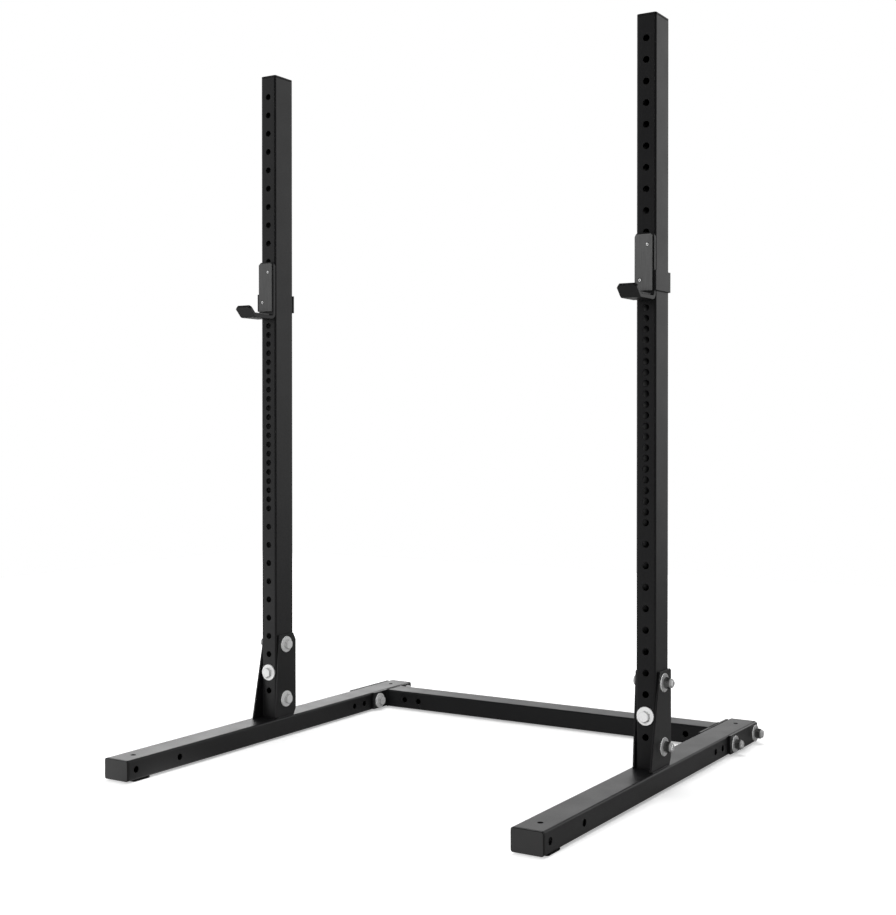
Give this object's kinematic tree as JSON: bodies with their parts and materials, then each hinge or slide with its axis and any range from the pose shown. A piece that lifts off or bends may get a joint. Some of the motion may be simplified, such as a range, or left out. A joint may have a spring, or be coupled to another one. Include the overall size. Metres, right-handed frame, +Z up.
{
  "type": "squat stand",
  "caption": "Free-standing squat stand: perforated uprights with adjustable J-cups, each bolted into a bracket on a floor foot, and one rear crossmember between the feet.",
  "frame": {"origin": "on the floor at the middle of the bounding box: midway between the uprights and at the middle of the feet's length", "axes": "+X to the right seen from the front, +Y to the rear where the crossmember is, +Z up"},
  "size_m": [1.2784, 1.2318, 1.8407],
  "materials": {
    "black_powder_coat": "fine-textured satin black powder coat",
    "zinc_plated_steel": "bright zinc plating",
    "black_plastic": "moulded matte black plastic",
    "grey_liner_plastic": "smooth dark grey plastic sheet",
    "black_rubber": "matte rubber"
  },
  "bodies": {
    "stand": {"left_upright": "black_powder_coat", "left_post_bracket": "black_powder_coat", "left_foot": "black_powder_coat", "left_backing_plate": "black_powder_coat", "left_upright_cap": "black_plastic", "left_foot_front_cap": "black_plastic", "left_foot_rear_cap": "black_plastic", "left_foot_front_pad": "black_rubber", "left_foot_rear_pad": "black_rubber", "left_lower_side_bolt": "zinc_plated_steel", "left_lower_side_bolt_washer": "zinc_plated_steel", "left_lower_side_bolt_nut": "zinc_plated_steel", "left_upper_side_bolt": "zinc_plated_steel", "left_upper_side_bolt_washer": "zinc_plated_steel", "left_upper_side_bolt_nut": "zinc_plated_steel", "left_front_bolt": "zinc_plated_steel", "left_front_bolt_washer": "zinc_plated_steel", "left_front_bolt_nut": "zinc_plated_steel", "left_cross_front_bolt": "zinc_plated_steel", "left_cross_front_bolt_washer": "zinc_plated_steel", "left_cross_front_bolt_nut": "zinc_plated_steel", "left_cross_rear_bolt": "zinc_plated_steel", "left_cross_rear_bolt_washer": "zinc_plated_steel", "left_cross_rear_bolt_nut": "zinc_plated_steel", "right_upright": "black_powder_coat", "right_post_bracket": "black_powder_coat", "right_foot": "black_powder_coat", "right_backing_plate": "black_powder_coat", "right_upright_cap": "black_plastic", "right_foot_front_cap": "black_plastic", "right_foot_rear_cap": "black_plastic", "right_foot_front_pad": "black_rubber", "right_foot_rear_pad": "black_rubber", "right_lower_side_bolt": "zinc_plated_steel", "right_lower_side_bolt_washer": "zinc_plated_steel", "right_lower_side_bolt_nut": "zinc_plated_steel", "right_upper_side_bolt": "zinc_plated_steel", "right_upper_side_bolt_washer": "zinc_plated_steel", "right_upper_side_bolt_nut": "zinc_plated_steel", "right_front_bolt": "zinc_plated_steel", "right_front_bolt_washer": "zinc_plated_steel", "right_front_bolt_nut": "zinc_plated_steel", "right_cross_front_bolt": "zinc_plated_steel", "right_cross_front_bolt_washer": "zinc_plated_steel", "right_cross_front_bolt_nut": "zinc_plated_steel", "right_cross_rear_bolt": "zinc_plated_steel", "right_cross_rear_bolt_washer": "zinc_plated_steel", "right_cross_rear_bolt_nut": "zinc_plated_steel", "crossmember": "black_powder_coat"},
    "left_j_cup": {"left_jcup_hook": "black_powder_coat", "left_jcup_liner": "grey_liner_plastic", "left_jcup_pin": "zinc_plated_steel", "left_jcup_upper_screw": "zinc_plated_steel", "left_jcup_lower_screw": "zinc_plated_steel"},
    "right_j_cup": {"right_jcup_hook": "black_powder_coat", "right_jcup_liner": "grey_liner_plastic", "right_jcup_pin": "zinc_plated_steel", "right_jcup_upper_screw": "zinc_plated_steel", "right_jcup_lower_screw": "zinc_plated_steel"}
  },
  "joints": [
    {"name": "left_j_cup_turn", "type": "hinge", "parent": "stand", "child": "left_j_cup", "pos_m": [-0.5715, -0.0384, 1.274], "axis": [0, 1, 0], "range_deg": [0, 90]},
    {"name": "right_j_cup_turn", "type": "hinge", "parent": "stand", "child": "right_j_cup", "pos_m": [0.5715, -0.0384, 1.274], "axis": [0, -1, 0], "range_deg": [0, 90]}
  ]
}
